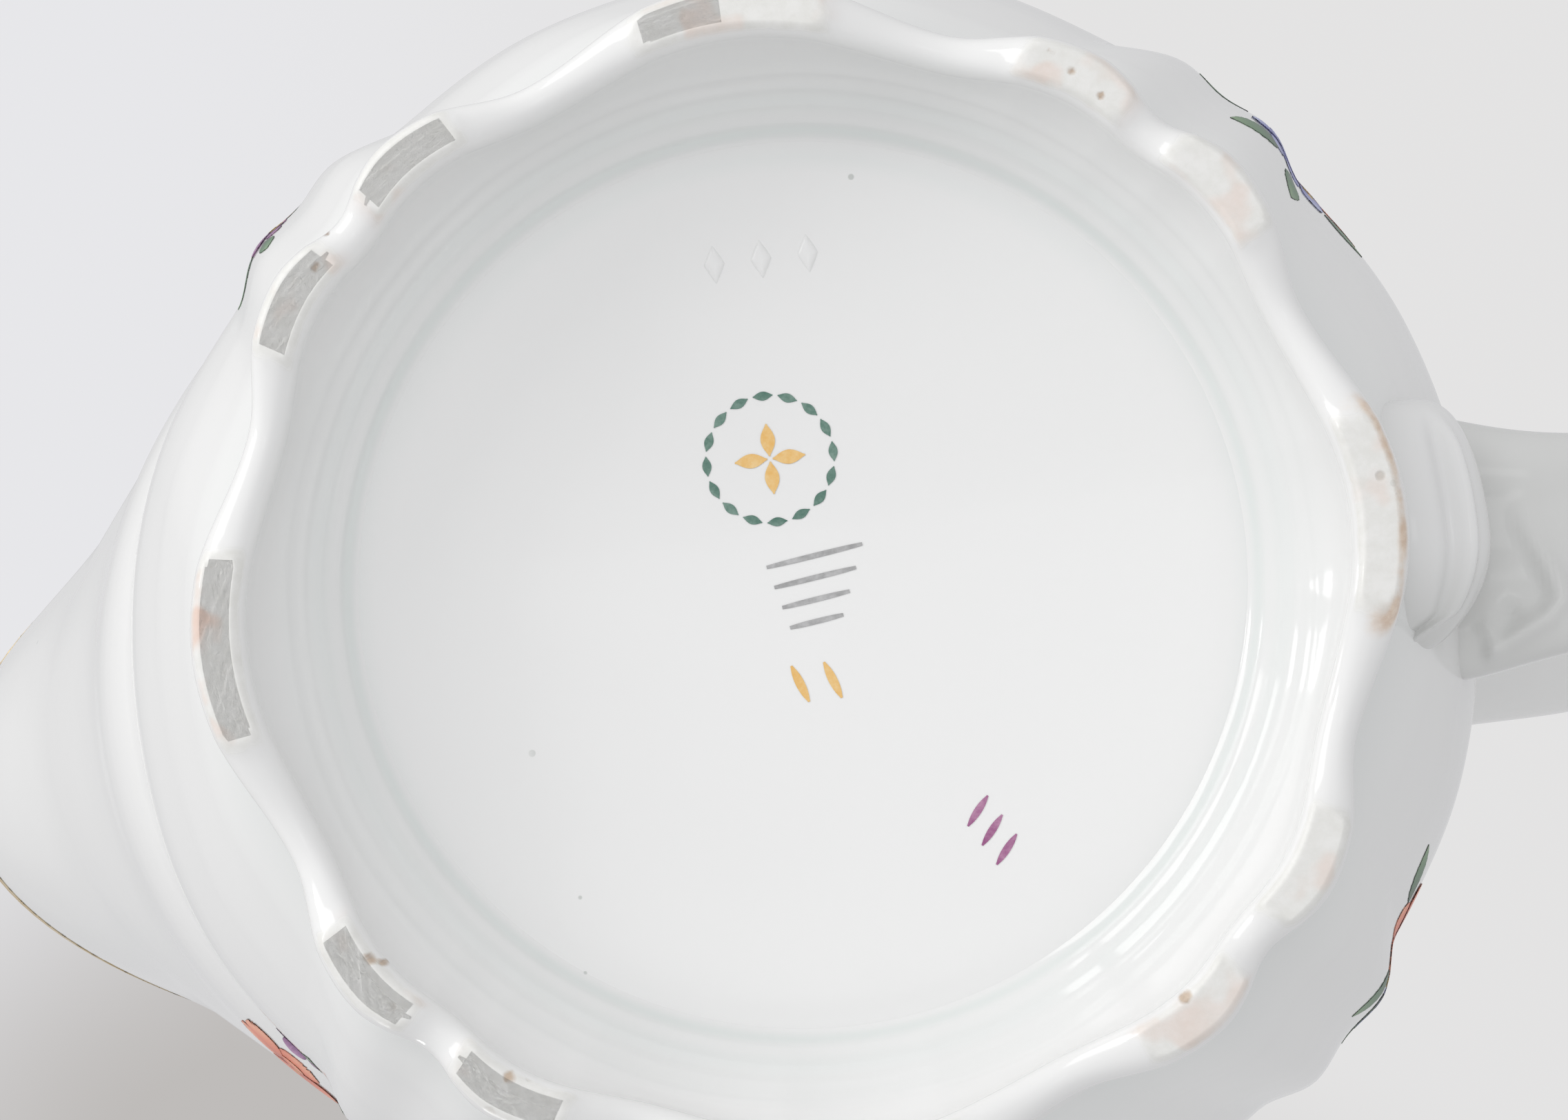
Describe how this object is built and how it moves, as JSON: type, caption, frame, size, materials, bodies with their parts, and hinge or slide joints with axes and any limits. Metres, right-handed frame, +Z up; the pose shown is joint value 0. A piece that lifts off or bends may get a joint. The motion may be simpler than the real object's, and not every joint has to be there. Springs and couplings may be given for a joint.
{
  "type": "cream jug",
  "caption": "Footed porcelain cream jug with a lobed body, a broad pouring beak, a strap handle with a scrolled lower end, gold lines and printed flowers.",
  "frame": {"origin": "middle of the foot, on the plane that its pads stand on", "axes": "+Z up; +X the way the beak pours; -X the handle; the jug is symmetrical about the X-Z plane but for the marks under it"},
  "size_m": [0.1377, 0.0802, 0.098],
  "materials": {
    "white_porcelain": "clear glossy glaze over white porcelain",
    "foot_porcelain": "glossy glaze, with matt beige pads where the foot was ground",
    "gold": "thin burnished gilding, a little worn",
    "orange_enamel": "fired overglaze enamel",
    "violet_enamel": "fired overglaze enamel",
    "purple_enamel": "fired overglaze enamel",
    "yellow_enamel": "fired overglaze enamel",
    "green_enamel": "fired overglaze enamel",
    "mark_gold": "matt gold-coloured print",
    "mark_grey": "grey print under the glaze"
  },
  "bodies": {
    "root": {"body_shell": "white_porcelain", "base_floor": "white_porcelain", "foot_ring": "foot_porcelain", "handle": "white_porcelain", "handle_scroll": "white_porcelain", "rim_gold_line": "gold", "handle_gold_line_left": "gold", "handle_gold_line_right": "gold", "poppy_petals": "orange_enamel", "violet_petals": "violet_enamel", "aster_petals": "purple_enamel", "flower_hearts": "yellow_enamel", "leaves": "green_enamel", "base_beads": "green_enamel", "base_rosette": "mark_gold", "base_dashes": "mark_grey", "gilder_mark": "mark_gold", "painter_mark": "purple_enamel"}
  },
  "joints": []
}
